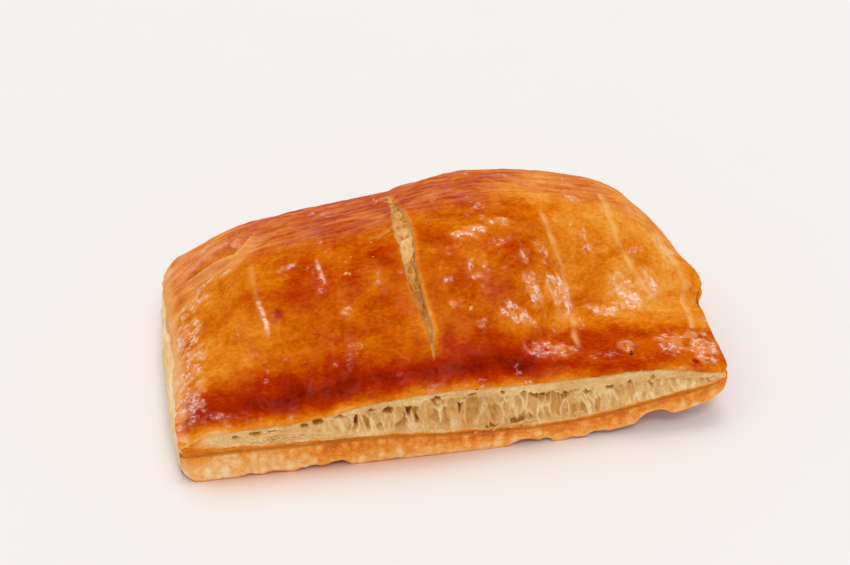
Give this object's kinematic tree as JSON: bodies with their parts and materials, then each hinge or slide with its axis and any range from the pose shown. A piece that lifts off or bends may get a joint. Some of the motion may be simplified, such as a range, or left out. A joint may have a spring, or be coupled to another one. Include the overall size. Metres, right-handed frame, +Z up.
{
  "type": "sausage roll",
  "caption": "Whole baked puff pastry sausage roll, egg-washed crust with a burst slash on top, its sealed front edge puffed open in layers.",
  "frame": {"origin": "centre of the bounding box, at the underside that rests on the table", "axes": "+X along the roll towards its curled-up end, -Y towards the seam edge that has puffed open, +Z up"},
  "size_m": [0.154, 0.078, 0.051],
  "materials": {
    "pastry": "golden brown baked puff pastry with a satin egg-wash glaze, pale cream layers where it has split"
  },
  "bodies": {
    "root": {"sausage_roll": "pastry"}
  },
  "joints": []
}
